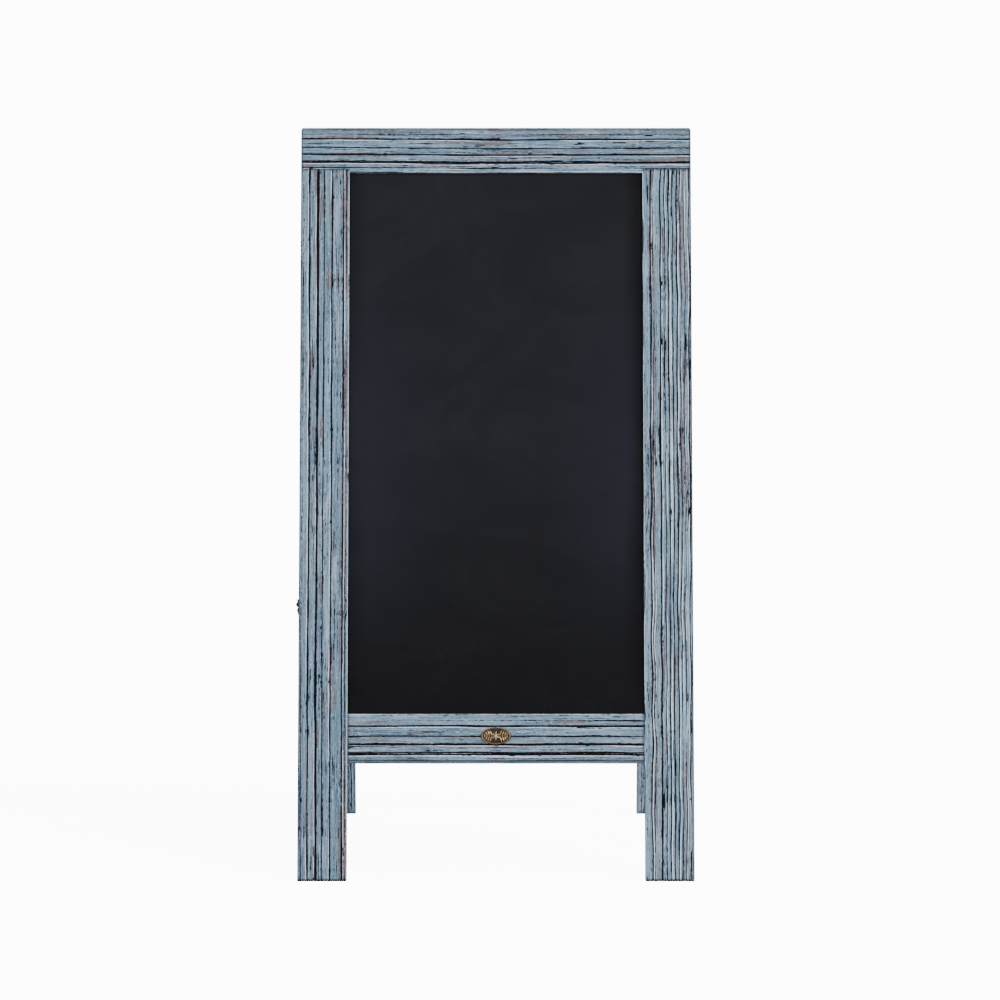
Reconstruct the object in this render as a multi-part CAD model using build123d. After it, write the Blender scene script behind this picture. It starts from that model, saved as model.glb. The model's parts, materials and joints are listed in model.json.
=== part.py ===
from build123d import *

import os
from math import acos, cos, degrees, radians, sin

# A folding A-frame chalkboard easel: two equal wooden frames, each holding a black writing board,
# hinged together along their top rails and held open by a folding stay on each side.
#
# Millimetres. +Z is up, +X is to the reader's right and the front board faces -Y. The origin is on
# the floor, midway between the four feet.
#
# Every piece is first made in the folded pose: both frames upright and back to back, the front one
# on the -Y side, with the hinge axis along X through (0, 0, 0). stand() then swings a frame out by
# half the opening angle and lifts it so that the feet meet the floor.

# --- Driving dimensions -------------------------------------------------------------------------

frame_width = 508.0
panel_length = 990.6  # along the slope, from the top edge to the floor
wood_thickness = 19.0
stile_width = 63.5
top_rail_height = 58.6
stile_lap = 5.1  # how far the stiles run up past the top rail's lower edge, into its notched ends
bottom_rail_height = 62.0
leg_below_rail = 155.2
arris_radius = 1.2
half_angle = 17.2  # each frame leans this many degrees when the easel is open

board_recess = 4.0  # from the face of the wood back to the writing surface
sheet_thickness = 0.6
backer_thickness = 3.0
groove_depth = 6.0
board_in_groove = 5.0

dowel_radius = 4.0
dowel_length = 40.0
dowel_glue_space = 1.0
dowel_spacing = 32.0

folded_gap = 7.0  # between the two frames' inner faces when folded
hinge_drop = 4.0  # hinge axis below the rails' top edges
hinge_span = 300.0  # between the middles of the two hinges
hinge_length = 50.0
hinge_leaf_height = 26.0
hinge_leaf_thickness = 1.5
hinge_leaf_corner = 3.0
knuckle_radius = 3.2
knuckle_count = 5
knuckle_gap = 0.4
hinge_pin_radius = 1.55
running_clearance = 0.05
hinge_screw_head_radius = 3.2
hinge_screw_radius = 1.4
hinge_screw_length = 14.0
hinge_hole_spread = 17.0  # outer screws from the leaf's middle
hinge_hole_drop = 19.6  # outer screws below the axis
middle_hole_drop = 12.6
hinge_pin_head_rim = 0.8
hinge_pin_head_thickness = 1.0
screw_point_radius = 0.3
slot_arm_ratio = 0.45  # width of a cross recess's arm over its reach
slot_reach_ratio = 0.5  # reach of a cross recess over the head's radius
slot_depth_ratio = 0.4  # depth of a cross recess over a round head's height

stay_drop = 330.0  # stay pivots below the hinge axis
stay_pivot_inset = 5.8  # stay pivots in from the inner face of the wood
stay_arm_width = 10.0
stay_arm_thickness = 2.0
stay_pivot_radius = 2.05
stay_rivet_radius = 2.5
stay_rivet_head_radius = 4.2
stay_rivet_head_height = 1.2
stay_rivet_head_round = 0.7
stay_washer_thickness = 2.0
stay_washer_lip = 0.5  # how much smaller than the arm's end a washer is
stay_screw_head = (4.0, 1.8)  # radius and height of a round head
stay_screw_shank = (1.7, 16.0)  # radius and length beyond the shoulder or the head
stay_side_gap = 0.2
stay_knuckle_gap = 0.3

latch_height = 362.3  # latch pivot up the slope from the floor
latch_inset = 5.0  # latch pivot and keeper stud in from the inner face of the wood
latch_plate_width = 10.0
latch_plate_above = 6.0
latch_plate_below = 13.1
latch_plate_thickness = 1.2
latch_screw_drop = 7.7
latch_raise = 20.0  # how far the hook is held up from its latched position when the easel is open
hook_thickness = 1.2
hook_gap = 0.1
hook_eye_radius = 3.2
hook_head_radius = 4.4
hook_head_rise = 0.6
hook_arm_width = 4.2
hook_notch_radius = 1.7
hook_pivot_radius = 1.1
hook_thumb_length = 5.0
hook_thumb_width = 2.6
hook_thumb_rise = 2.0
latch_pivot_head = (2.0, 1.4)
latch_pivot_shank = (0.9, 12.0)
latch_screw_head = (2.7, 1.4)
latch_screw_shank = (1.1, 13.0)
keeper_thickness = 1.0
keeper_above = 5.0
keeper_below = 12.0
keeper_stud_radius = 1.5
keeper_stud_head = (2.4, 1.0)
keeper_screw_drop = 7.2
keeper_screw_head = (2.4, 1.2)

badge_height = 188.3  # badge centre up the slope from the floor
badge_half_width = 19.25
badge_half_height = 11.0
badge_thickness = 1.4
badge_rim_width = 1.5
badge_rim_height = 0.7
badge_prong_radius = 0.9
badge_prong_length = 7.0
badge_prong_spacing = 24.0

# --- Places that follow from them ---------------------------------------------------------------

half_width = frame_width / 2
opening_half_width = half_width - stile_width
inner_face = folded_gap / 2  # distance of each frame's inner face from the folding plane
outer_face = inner_face + wood_thickness
wood_middle = inner_face + wood_thickness / 2

top_edge = hinge_drop
floor_level = top_edge - panel_length
stile_top = top_edge - top_rail_height + stile_lap
opening_top = top_edge - top_rail_height
bottom_rail_foot = floor_level + leg_below_rail
opening_foot = bottom_rail_foot + bottom_rail_height
stile_foot = floor_level - wood_thickness  # the floor cut trims this back

sheet_front = outer_face - board_recess
sheet_back = sheet_front - sheet_thickness
backer_back = sheet_back - backer_thickness
board_half_width = opening_half_width + board_in_groove
board_top = opening_top + board_in_groove
board_foot = opening_foot - board_in_groove

lean = radians(half_angle)
hinge_height = (panel_length - hinge_drop) * cos(lean) - outer_face * sin(lean)

stay_pivot_depth = inner_face + stay_pivot_inset
stay_arm_length = stay_drop * sin(lean) + stay_pivot_depth * cos(lean)
stay_level = hinge_height + stay_pivot_depth * sin(lean) - stay_drop * cos(lean)
stay_lift = degrees(acos(stay_pivot_depth / stay_arm_length))  # arm's angle to level when folded
front_arm_outside = opening_half_width - stay_washer_thickness - stay_side_gap
front_arm_inside = front_arm_outside - stay_arm_thickness
rear_arm_outside = front_arm_inside - stay_knuckle_gap
rear_arm_inside = rear_arm_outside - stay_arm_thickness

latch_level = floor_level + latch_height
latch_depth = inner_face + latch_inset
latch_reach = 2 * latch_depth
hook_inside = half_width + latch_plate_thickness + hook_gap
hook_outside = hook_inside + hook_thickness

FRONT, REAR = -1, 1  # sign of Y in the folded pose
LEFT, RIGHT = -1, 1  # sign of X
side_names = {LEFT: "left", RIGHT: "right"}
depth_names = {FRONT: "front", REAR: "rear"}


# --- Helpers ------------------------------------------------------------------------------------


def slab(x, y, z):
    """Rectangular solid between two limits along each axis, given in either order."""
    low = [min(pair) for pair in (x, y, z)]
    size = [abs(pair[1] - pair[0]) for pair in (x, y, z)]
    return Pos(*low) * Box(*size, align=(Align.MIN, Align.MIN, Align.MIN))


def rod(radius, start, end):
    """Round bar between two points."""
    run = Vector(*end) - Vector(*start)
    return Plane(origin=start, z_dir=run) * Cylinder(
        radius, run.length, align=(Align.CENTER, Align.CENTER, Align.MIN)
    )


def eased(shape, axis):
    """The shape with its edges along one axis rounded to the wood's arris radius."""
    return fillet(shape.edges().filter_by(axis), arris_radius)


def cross_slot(radius, depth):
    """Cutter for a cross recess whose mouth lies at z = 0."""
    arm = Box(2 * radius, radius * slot_arm_ratio, 2 * depth)
    return arm + Rot(Z=90) * arm


def countersunk_blank(head_radius, shank_radius, length):
    """Wood screw along -Z with its flat head's top at z = 0, and no recess in it."""
    head_depth = head_radius - shank_radius
    tip = 2 * shank_radius
    head = Pos(Z=-head_depth / 2) * Cone(shank_radius, head_radius, head_depth)
    shank = rod(shank_radius, (0, 0, -head_depth), (0, 0, tip - length))
    point = Pos(Z=tip / 2 - length) * Cone(screw_point_radius, shank_radius, tip)
    return head + shank + point


def round_head_screw(head, shank, shoulder_radius=0, shoulder=0):
    """Wood screw along -Z with a domed head on z = 0 and, if asked for, a plain shoulder under it."""
    head_radius, head_height = head
    shank_radius, length = shank[0], shank[1] + shoulder
    dome_radius = (head_radius**2 + head_height**2) / (2 * head_height)
    dome = Pos(Z=head_height - dome_radius) * Sphere(dome_radius)
    cap = dome & Pos(Z=head_height / 2) * Cylinder(head_radius, head_height)
    tip = 2 * shank_radius
    screw = cap + rod(shank_radius, (0, 0, 0), (0, 0, tip - length))
    screw += Pos(Z=tip / 2 - length) * Cone(screw_point_radius, shank_radius, tip)
    if shoulder:
        screw += rod(shoulder_radius, (0, 0, 0), (0, 0, -shoulder))
    recess = cross_slot(head_radius * slot_reach_ratio, head_height * slot_depth_ratio)
    return screw - Pos(Z=head_height) * recess


def drive_in(screw, point, direction):
    """The screw set at a point, driven along a direction."""
    return Plane(origin=point, z_dir=-Vector(*direction)) * screw


def stand(shape, depth_side):
    """The folded-pose shape of the front or rear frame, swung open and lifted onto its feet."""
    return Pos(Z=hinge_height) * Rot(X=depth_side * half_angle) * shape


# --- Wooden frame -------------------------------------------------------------------------------


def frame_dowels(depth_side):
    """The eight dowels of one frame: two across each corner joint."""
    y = depth_side * wood_middle
    half = dowel_length / 2
    dowels = []
    for side in (LEFT, RIGHT):
        stile_middle = side * (opening_half_width + stile_width / 2)
        for step in (-dowel_spacing / 2, dowel_spacing / 2):
            x = stile_middle + step
            dowels.append(rod(dowel_radius, (x, y, stile_top - half), (x, y, stile_top + half)))
            z = bottom_rail_foot + bottom_rail_height / 2 - groove_depth / 2 + step
            x_joint = side * opening_half_width
            dowels.append(rod(dowel_radius, (x_joint - half, y, z), (x_joint + half, y, z)))
    return dowels


def dowel_holes(depth_side):
    """The dowels, drawn out by the glue space at both ends."""
    holes = []
    for dowel in frame_dowels(depth_side):
        box = dowel.bounding_box()
        longest = max(box.size.X, box.size.Z)
        stretch = 1 + 2 * dowel_glue_space / longest
        centre = box.center()
        factors = (stretch, 1, 1) if box.size.X > box.size.Z else (1, 1, stretch)
        holes.append(Pos(*centre) * scale(Pos(*-centre) * dowel, by=factors))
    return holes


def board_groove(depth_side, x, z):
    """Cutter for a stretch of the groove that holds the board."""
    return slab(x, (depth_side * sheet_front, depth_side * backer_back), z)


def stile(side, depth_side):
    """Upright at one side, grooved along its inner edge from its top down to the bottom rail."""
    body = eased(
        slab(
            (side * opening_half_width, side * half_width),
            (depth_side * inner_face, depth_side * outer_face),
            (stile_foot, stile_top),
        ),
        Axis.Z,
    )
    groove_x = (side * opening_half_width, side * (opening_half_width + groove_depth))
    body -= board_groove(depth_side, groove_x, (opening_foot - groove_depth, stile_top))
    return body - dowel_holes(depth_side)


def top_rail(depth_side):
    """Cross piece over the stiles, notched at its ends and grooved underneath."""
    y = (depth_side * inner_face, depth_side * outer_face)
    body = eased(slab((-half_width, half_width), y, (opening_top, top_edge)), Axis.X)
    for side in (LEFT, RIGHT):
        notch_x = (side * opening_half_width, side * (half_width + stile_width))
        body -= slab(notch_x, (2 * y[0] - y[1], 2 * y[1] - y[0]), (opening_top - stile_lap, stile_top))
    groove_x = (-opening_half_width, opening_half_width)
    body -= board_groove(depth_side, groove_x, (opening_top, opening_top + groove_depth))
    return body - dowel_holes(depth_side)


def bottom_rail(depth_side):
    """Cross piece between the stiles, grooved along its top."""
    y = (depth_side * inner_face, depth_side * outer_face)
    x = (-opening_half_width, opening_half_width)
    body = eased(slab(x, y, (bottom_rail_foot, opening_foot)), Axis.X)
    body -= board_groove(depth_side, x, (opening_foot - groove_depth, opening_foot))
    return body - dowel_holes(depth_side)


def writing_sheet(depth_side):
    """Thin coated steel sheet that is written on."""
    y = (depth_side * sheet_back, depth_side * sheet_front)
    return slab((-board_half_width, board_half_width), y, (board_foot, board_top))


def backer_board(depth_side):
    """Hardboard behind the writing sheet."""
    y = (depth_side * backer_back, depth_side * sheet_back)
    return slab((-board_half_width, board_half_width), y, (board_foot, board_top))


# --- Hinges -------------------------------------------------------------------------------------


def knuckle_limits(index):
    """Where one of a hinge's knuckles starts and ends along X, from the hinge's middle."""
    pitch = hinge_length / knuckle_count
    start = index * pitch - hinge_length / 2
    return start + knuckle_gap / 2, start + pitch - knuckle_gap / 2


def at_hinge_holes(screw, side, depth_side):
    """The screw in each of one leaf's three holes: the middle one is set higher than the outer two."""
    middle = side * hinge_span / 2
    back = depth_side * (inner_face - hinge_leaf_thickness)
    places = [
        (middle - hinge_hole_spread, -hinge_hole_drop),
        (middle, -middle_hole_drop),
        (middle + hinge_hole_spread, -hinge_hole_drop),
    ]
    return [drive_in(screw, (x, back, z), (0, depth_side, 0)) for x, z in places]


def hinge_leaf(side, depth_side):
    """Leaf on a rail's inner face: the front one carries the even knuckles, the rear one the odd."""
    face = depth_side * inner_face
    back = depth_side * (inner_face - hinge_leaf_thickness)
    middle = side * hinge_span / 2
    x = (middle - hinge_length / 2, middle + hinge_length / 2)
    plate_top = -knuckle_radius - knuckle_gap
    plate = slab(x, (face, back), (-hinge_leaf_height, plate_top))
    corners = plate.edges().filter_by(Axis.Y).sort_by(Axis.Z)[:2]
    leaf = fillet(corners, hinge_leaf_corner)
    first = 0 if depth_side == FRONT else 1
    for index in range(first, knuckle_count, 2):
        start, end = (middle + limit for limit in knuckle_limits(index))
        leaf += slab((start, end), (face, back), (plate_top, 0))
        leaf += rod(knuckle_radius, (start, 0, 0), (end, 0, 0))
    bore = hinge_pin_radius + running_clearance
    leaf -= rod(bore, (x[0] - 1, 0, 0), (x[1] + 1, 0, 0))
    blank = countersunk_blank(hinge_screw_head_radius, hinge_screw_radius, hinge_screw_length)
    return leaf - at_hinge_holes(blank, side, depth_side)


def hinge_pin(side):
    """Pin with a small head at its outer end."""
    middle = side * hinge_span / 2
    inner_end = middle - side * hinge_length / 2
    outer_end = middle + side * hinge_length / 2
    head_end = outer_end + side * hinge_pin_head_thickness
    pin = rod(hinge_pin_radius, (inner_end, 0, 0), (outer_end, 0, 0))
    return pin + rod(hinge_pin_radius + hinge_pin_head_rim, (outer_end, 0, 0), (head_end, 0, 0))


def hinge_screws(side, depth_side):
    """The three countersunk screws of one leaf."""
    blank = countersunk_blank(hinge_screw_head_radius, hinge_screw_radius, hinge_screw_length)
    recess = cross_slot(hinge_screw_head_radius * slot_reach_ratio, hinge_leaf_thickness / 2)
    return at_hinge_holes(blank - recess, side, depth_side)


# --- Folding stays ------------------------------------------------------------------------------


def stay_pivot(depth_side):
    """The (y, z) of a stay's pivot on the front or rear frame, in the folded pose."""
    return depth_side * stay_pivot_depth, -stay_drop


def stay_washer(side, depth_side):
    """Spacer between a stile and the stay arm that pivots on it."""
    y, z = stay_pivot(depth_side)
    thickness = stay_washer_thickness
    if depth_side == REAR:
        thickness = opening_half_width - rear_arm_outside - stay_side_gap
    start = (side * opening_half_width, y, z)
    end = (side * (opening_half_width - thickness), y, z)
    bore = stay_pivot_radius + running_clearance
    return rod(stay_arm_width / 2 - stay_washer_lip, start, end) - rod(bore, start, end)


def stay_screw(side, depth_side):
    """Shoulder screw that an arm turns on, driven into the stile's inner edge."""
    y, z = stay_pivot(depth_side)
    arm_inside = front_arm_inside if depth_side == FRONT else rear_arm_inside
    head_face = arm_inside - stay_side_gap
    shoulder = opening_half_width - head_face
    screw = round_head_screw(stay_screw_head, stay_screw_shank, stay_pivot_radius, shoulder)
    return drive_in(screw, (side * head_face, y, z), (side, 0, 0))


def stay_arm(side, depth_side):
    """Flat bar with a pivot hole at its frame end and the knuckle rivet's hole at the other.

    It is made in the open pose: both arms of a stay lie in one level line, and meet over the origin.
    """
    outside, inside = front_arm_outside, front_arm_inside
    if depth_side == REAR:
        outside, inside = rear_arm_outside, rear_arm_inside
    x = side * (outside + inside) / 2
    pivot_y = depth_side * stay_arm_length
    z = stay_level
    outline = SlotCenterToCenter(stay_arm_length, stay_arm_width)
    bar = extrude(Plane.YZ * outline, stay_arm_thickness / 2, both=True)
    arm = Pos(x, pivot_y / 2, z) * bar
    x_ends = (side * outside, side * inside)
    hole = stay_pivot_radius + running_clearance
    arm -= rod(hole, (x_ends[0], pivot_y, z), (x_ends[1], pivot_y, z))
    return arm - rod(stay_rivet_radius, (x_ends[0], 0, z), (x_ends[1], 0, z))


def stay_rivet(side, depth_side):
    """Half of the knuckle rivet: its shank fills one arm's hole, and its head lies outside the pair."""
    outside, inside = front_arm_outside, front_arm_inside
    if depth_side == REAR:
        outside, inside = rear_arm_inside, rear_arm_outside
    away = 1 if outside > inside else -1
    z = stay_level
    shank = rod(stay_rivet_radius, (side * inside, 0, z), (side * outside, 0, z))
    head = rod(
        stay_rivet_head_radius,
        (side * outside, 0, z),
        (side * (outside + away * stay_rivet_head_height), 0, z),
    )
    rim = head.edges().filter_by(GeomType.CIRCLE).sort_by(Axis.X)
    rim = rim[-1] if side * away > 0 else rim[0]
    return shank + fillet(rim, stay_rivet_head_round)


# --- Latch --------------------------------------------------------------------------------------


def latch_plate():
    """Plate with round ends on the front frame's left edge."""
    height = latch_plate_above + latch_plate_below
    outline = SlotOverall(height, latch_plate_width, rotation=90)
    plate = extrude(Plane.YZ * outline, latch_plate_thickness / 2, both=True)
    x = -half_width - latch_plate_thickness / 2
    z = latch_level + (latch_plate_above - latch_plate_below) / 2
    return Pos(x, -latch_depth, z) * plate - latch_pivot() - latch_screw()


def latch_pivot():
    """Shoulder screw with a round knob of a head, on which the hook swings."""
    shoulder = latch_plate_thickness + hook_thickness + 2 * hook_gap
    screw = round_head_screw(latch_pivot_head, latch_pivot_shank, hook_pivot_radius, shoulder)
    head_face = -half_width - shoulder
    return drive_in(screw, (head_face, -latch_depth, latch_level), (1, 0, 0))


def latch_screw():
    """Round-headed screw through the plate's lower end."""
    screw = round_head_screw(latch_screw_head, latch_screw_shank)
    head_face = -half_width - latch_plate_thickness
    return drive_in(screw, (head_face, -latch_depth, latch_level - latch_screw_drop), (1, 0, 0))


def latch_hook():
    """Flat hook that drops over the keeper's stud: drawn latched, then raised about its pivot."""
    reach = latch_reach
    eye = Circle(hook_eye_radius)
    arm = Pos(reach / 2, hook_head_rise) * Rectangle(reach, hook_arm_width)
    head = Pos(reach, hook_head_rise) * Circle(hook_head_radius)
    thumb = Rectangle(hook_thumb_length, hook_thumb_width)
    thumb = Pos(reach + hook_head_radius, hook_head_rise + hook_thumb_rise) * thumb
    outline = eye + arm + head + thumb
    notch_length = hook_head_radius + hook_notch_radius
    outline -= Pos(reach, 0) * Circle(hook_notch_radius)
    outline -= Pos(reach, -notch_length / 2) * Rectangle(2 * hook_notch_radius, notch_length)
    outline -= Circle(hook_pivot_radius + running_clearance)
    hook = extrude(Plane.YZ * outline, hook_thickness / 2, both=True)
    x = -(hook_inside + hook_outside) / 2
    return Pos(x, -latch_depth, latch_level) * Rot(X=latch_raise) * hook


def keeper_plate():
    """Plate on the rear frame's left edge that carries the stud."""
    height = keeper_above + keeper_below
    outline = SlotOverall(height, latch_plate_width, rotation=90)
    plate = extrude(Plane.YZ * outline, keeper_thickness / 2, both=True)
    x = -half_width - keeper_thickness / 2
    z = latch_level + (keeper_above - keeper_below) / 2
    return Pos(x, latch_depth, z) * plate - keeper_stud() - keeper_screw()


def keeper_stud():
    """Headed stud that the hook catches, driven through the keeper's plate."""
    shoulder = latch_plate_thickness + hook_thickness + 3 * hook_gap
    screw = round_head_screw(keeper_stud_head, latch_pivot_shank, keeper_stud_radius, shoulder)
    return drive_in(screw, (-half_width - shoulder, latch_depth, latch_level), (1, 0, 0))


def keeper_screw():
    """Round-headed screw through the keeper plate's lower end."""
    screw = round_head_screw(keeper_screw_head, latch_screw_shank)
    head_face = -half_width - keeper_thickness
    return drive_in(screw, (head_face, latch_depth, latch_level - keeper_screw_drop), (1, 0, 0))


# --- Badge --------------------------------------------------------------------------------------


def badge():
    """Oval plate with a raised rim, on two prongs pressed into the front bottom rail."""
    z = floor_level + badge_height
    outline = Ellipse(badge_half_width, badge_half_height)
    field = Ellipse(badge_half_width - badge_rim_width, badge_half_height - badge_rim_width)
    plate = extrude(outline, badge_thickness) + extrude(outline - field, badge_thickness + badge_rim_height)
    for step in (-badge_prong_spacing / 2, badge_prong_spacing / 2):
        plate += rod(badge_prong_radius, (step, 0, 0), (step, 0, -badge_prong_length))
    return Plane(origin=(0, -outer_face, z), x_dir=(1, 0, 0), z_dir=(0, -1, 0)) * plate


# --- Assembly -----------------------------------------------------------------------------------


def wooden_frame(depth_side):
    """One frame's wood, board and dowels, in the folded pose, by node name."""
    name = depth_names[depth_side]
    pieces = {
        f"{name}_top_rail": top_rail(depth_side),
        f"{name}_bottom_rail": bottom_rail(depth_side),
        f"{name}_writing_sheet": writing_sheet(depth_side),
        f"{name}_backer_board": backer_board(depth_side),
        f"{name}_dowels": frame_dowels(depth_side),
    }
    for side in (LEFT, RIGHT):
        pieces[f"{name}_{side_names[side]}_stile"] = stile(side, depth_side)
    return pieces


def frame_hardware(depth_side):
    """What is screwed to one frame, in the folded pose, by node name."""
    name = depth_names[depth_side]
    both_hinges = hinge_screws(LEFT, depth_side) + hinge_screws(RIGHT, depth_side)
    pieces = {f"hinge_screws_{name}": both_hinges}
    for side in (LEFT, RIGHT):
        pieces[f"hinge_leaf_{name}_{side_names[side]}"] = hinge_leaf(side, depth_side)
    pieces[f"stay_pivot_screws_{name}"] = [stay_screw(side, depth_side) for side in (LEFT, RIGHT)]
    pieces[f"stay_washers_{name}"] = [stay_washer(side, depth_side) for side in (LEFT, RIGHT)]
    if depth_side == FRONT:
        for side in (LEFT, RIGHT):
            pieces[f"hinge_pin_{side_names[side]}"] = hinge_pin(side)
        pieces["latch_plate"] = latch_plate()
        pieces["latch_pivot_screw"] = latch_pivot()
        pieces["latch_plate_screw"] = latch_screw()
        pieces["badge"] = badge()
    else:
        pieces["keeper_plate"] = keeper_plate()
        pieces["keeper_stud"] = keeper_stud()
        pieces["keeper_screw"] = keeper_screw()
    return pieces


# Each wooden piece is bored by exactly the fasteners that are driven into it.
bored_by = {
    "front_top_rail": ("hinge_screws_front",),
    "front_left_stile": ("stay_pivot_screws_front", "latch_pivot_screw", "latch_plate_screw"),
    "front_right_stile": ("stay_pivot_screws_front",),
    "front_bottom_rail": ("badge",),
    "rear_top_rail": ("hinge_screws_rear",),
    "rear_left_stile": ("stay_pivot_screws_rear", "keeper_stud", "keeper_screw"),
    "rear_right_stile": ("stay_pivot_screws_rear",),
}


def as_list(shape):
    """One shape or several, as a list."""
    return shape if isinstance(shape, list) else [shape]


def standing_frame(depth_side):
    """All of one frame's pieces, bored, stood open, and cut off level at the floor."""
    pieces = wooden_frame(depth_side)
    pieces.update(frame_hardware(depth_side))
    for node, fasteners in bored_by.items():
        if node in pieces:
            for fastener in fasteners:
                pieces[node] -= as_list(pieces[fastener])
    below_floor = slab((-frame_width, frame_width), (-panel_length, panel_length), (-panel_length, 0))
    stood = {}
    for node, shapes in pieces.items():
        stood[node] = [stand(shape, depth_side) for shape in as_list(shapes)]
        if node.endswith("_stile"):
            stood[node] = [shape - below_floor for shape in stood[node]]
    return stood


nodes = standing_frame(FRONT)
nodes.update(standing_frame(REAR))
nodes["latch_hook"] = [stand(latch_hook(), FRONT)]
for side in (LEFT, RIGHT):
    for depth_side in (FRONT, REAR):
        where = f"{depth_names[depth_side]}_{side_names[side]}"
        nodes[f"stay_arm_{where}"] = [stay_arm(side, depth_side)]
        nodes[f"stay_rivet_{where}"] = [stay_rivet(side, depth_side)]

os.makedirs("parts", exist_ok=True)
for node, shapes in nodes.items():
    solids = [solid for shape in shapes for solid in shape.solids()]
    piece = solids[0] if len(solids) == 1 else Compound(children=solids)
    piece.label = node
    export_step(piece, f"parts/{node}.step")

print(f"hinge axis {hinge_height:.2f} above the floor, {2 * half_angle:.1f} degrees between the frames")
print(f"stay pivots {stay_level:.2f} up and {stay_arm_length:.2f} from the middle")
print(f"each stay arm lifts {stay_lift:.2f} degrees from level while its frame folds {half_angle:.1f}")
print(f"{len(nodes)} nodes, {sum(len(shapes) for shapes in nodes.values())} pieces")
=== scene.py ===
"""The looks of the folding A-frame chalkboard easel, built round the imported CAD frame.

Metres, +Z up, and the front board faces -Y. A size times MM is a size in millimetres.
The wood and the badge are made here again as fine meshes with real relief. The boards and the
hardware keep their CAD meshes, with materials of their own.
"""

import json
import math
from collections import namedtuple

import bmesh
import bpy
import numpy as np
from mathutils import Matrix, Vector

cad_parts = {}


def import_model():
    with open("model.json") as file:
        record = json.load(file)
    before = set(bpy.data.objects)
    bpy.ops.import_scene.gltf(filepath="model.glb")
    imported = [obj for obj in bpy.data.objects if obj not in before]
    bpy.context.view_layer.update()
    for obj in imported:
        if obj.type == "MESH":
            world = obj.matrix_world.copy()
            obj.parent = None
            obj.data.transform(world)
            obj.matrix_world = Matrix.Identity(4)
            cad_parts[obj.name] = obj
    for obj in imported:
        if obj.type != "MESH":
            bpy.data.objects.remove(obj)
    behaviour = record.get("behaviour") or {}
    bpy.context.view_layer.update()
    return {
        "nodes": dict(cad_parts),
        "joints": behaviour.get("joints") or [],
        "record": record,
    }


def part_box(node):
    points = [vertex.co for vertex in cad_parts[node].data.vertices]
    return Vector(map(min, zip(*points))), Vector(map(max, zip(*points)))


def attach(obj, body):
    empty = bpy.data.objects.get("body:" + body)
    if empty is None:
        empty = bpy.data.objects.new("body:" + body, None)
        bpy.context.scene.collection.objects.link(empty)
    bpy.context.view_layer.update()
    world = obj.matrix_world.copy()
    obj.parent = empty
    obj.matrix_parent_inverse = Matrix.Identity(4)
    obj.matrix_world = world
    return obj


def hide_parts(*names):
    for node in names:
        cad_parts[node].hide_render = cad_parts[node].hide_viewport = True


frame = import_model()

MM = 0.001
FRONT, REAR = -1, 1
DEPTH_NAMES = {FRONT: "front", REAR: "rear"}
LEFT, RIGHT = -1, 1


# --- The frame's own geometry -------------------------------------------------------------------

FOLD = next(joint for joint in frame["joints"] if joint["name"] == "fold")
HINGE = np.array(FOLD["pos_m"])
HALF_ANGLE = math.radians(max(FOLD["range_deg"])) / 2


def turned(points, angle):
    """Points turned about the X axis."""
    x, y, z = points[..., 0], points[..., 1], points[..., 2]
    cos, sin = math.cos(angle), math.sin(angle)
    return np.stack((x, y * cos - z * sin, y * sin + z * cos), axis=-1)


def stand(points, side):
    """From the folded pose, with the hinge axis at the origin, to where one open frame stands."""
    return turned(points, side * HALF_ANGLE) + HINGE


def folded_box(node, side):
    """A node's lowest and highest corners in the folded pose, with depth measured outwards."""
    points = np.array([vertex.co for vertex in frame["nodes"][node].data.vertices])
    points = turned(points - HINGE, -side * HALF_ANGLE)
    points[:, 1] *= side
    return points.min(axis=0), points.max(axis=0)


# --- Smooth noise -------------------------------------------------------------------------------

NOISE_CELLS = 64


def smooth(x):
    """Rises from 0 to 1 with both ends eased, and is held outside them."""
    x = np.clip(x, 0, 1)
    return x * x * (3 - 2 * x)


def noise_line(x, seed):
    """Smooth noise from -1 to 1, with a new value at each whole number."""
    table = np.random.default_rng(seed).uniform(-1, 1, NOISE_CELLS)
    cell = np.floor(x).astype(int)
    share = smooth(x - cell)
    return table[cell % NOISE_CELLS] * (1 - share) + table[(cell + 1) % NOISE_CELLS] * share


# One part of a wavering line: its size, and how far apart its bends are in metres.
Wave = namedtuple("Wave", "size length")


def waves(along, parts, seed):
    """Smooth noise along a bar, summed from its parts."""
    return sum(
        part.size * noise_line(along / part.length, seed + step) for step, part in enumerate(parts)
    )


def noise_field(x, y, seed):
    """Smooth noise from -1 to 1 over a plane, with a new value at each whole pair of numbers."""
    table = np.random.default_rng(seed).uniform(-1, 1, (NOISE_CELLS, NOISE_CELLS))
    column, row = np.floor(x).astype(int), np.floor(y).astype(int)
    across, up = smooth(x - column), smooth(y - row)
    c0, c1 = column % NOISE_CELLS, (column + 1) % NOISE_CELLS
    r0, r1 = row % NOISE_CELLS, (row + 1) % NOISE_CELLS
    low = table[c0, r0] * (1 - across) + table[c1, r0] * across
    high = table[c0, r1] * (1 - across) + table[c1, r1] * across
    return low * (1 - up) + high * up


# --- Node trees ---------------------------------------------------------------------------------


# Where the mix node keeps the share, the two colours and the result when it mixes colours.
MIX_SHARE, MIX_FIRST, MIX_SECOND, MIX_RESULT = 0, 6, 7, 2


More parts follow.
